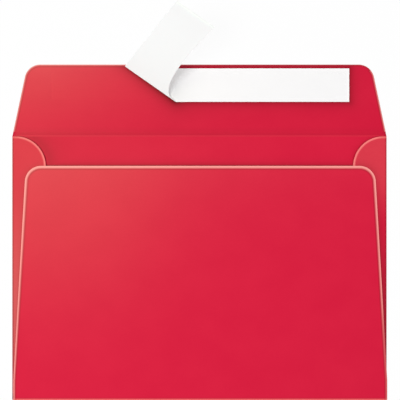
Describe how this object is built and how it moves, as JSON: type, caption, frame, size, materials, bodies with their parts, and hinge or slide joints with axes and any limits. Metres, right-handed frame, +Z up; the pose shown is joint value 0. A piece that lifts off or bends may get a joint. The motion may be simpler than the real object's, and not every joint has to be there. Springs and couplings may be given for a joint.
{
  "type": "envelope",
  "caption": "Red wallet envelope with an open seal flap, glued side flaps, a tapered back panel and a self-seal strip whose white release liner is partly peeled.",
  "frame": {"origin": "centre of the address face, the outer face of the front panel, on which the envelope lies", "axes": "+X along the envelope to the right as seen from the back, +Y from the bottom fold towards the seal flap, +Z up, from the address face towards the back panel"},
  "size_m": [0.176, 0.1717, 0.0312],
  "materials": {
    "red_paper": "satin",
    "seam_glue": "matte",
    "clear_adhesive": "gloss",
    "liner_paper": "satin"
  },
  "bodies": {
    "pocket": {"front_panel": "red_paper", "bottom_fold": "red_paper", "left_fold": "red_paper", "right_fold": "red_paper", "left_side_flap": "red_paper", "right_side_flap": "red_paper", "left_seam_glue": "seam_glue", "right_seam_glue": "seam_glue", "back_panel": "red_paper", "flap_crease": "red_paper"},
    "seal_flap": {"seal_flap": "red_paper", "flap_adhesive": "clear_adhesive"},
    "release_liner": {"liner_strip": "liner_paper", "peel_tab": "liner_paper"}
  },
  "joints": [
    {"name": "flap_fold", "type": "hinge", "parent": "pocket", "child": "seal_flap", "pos_m": [0, 0.0625, 0.00097], "axis": [1, 0, 0], "range_deg": [0, 180], "deforming": ["peel_tab", "flap_crease"]},
    {"name": "liner_peel", "type": "slide", "parent": "seal_flap", "child": "release_liner", "axis": [1, 0, 0], "range_m": [0, 0.15]}
  ]
}
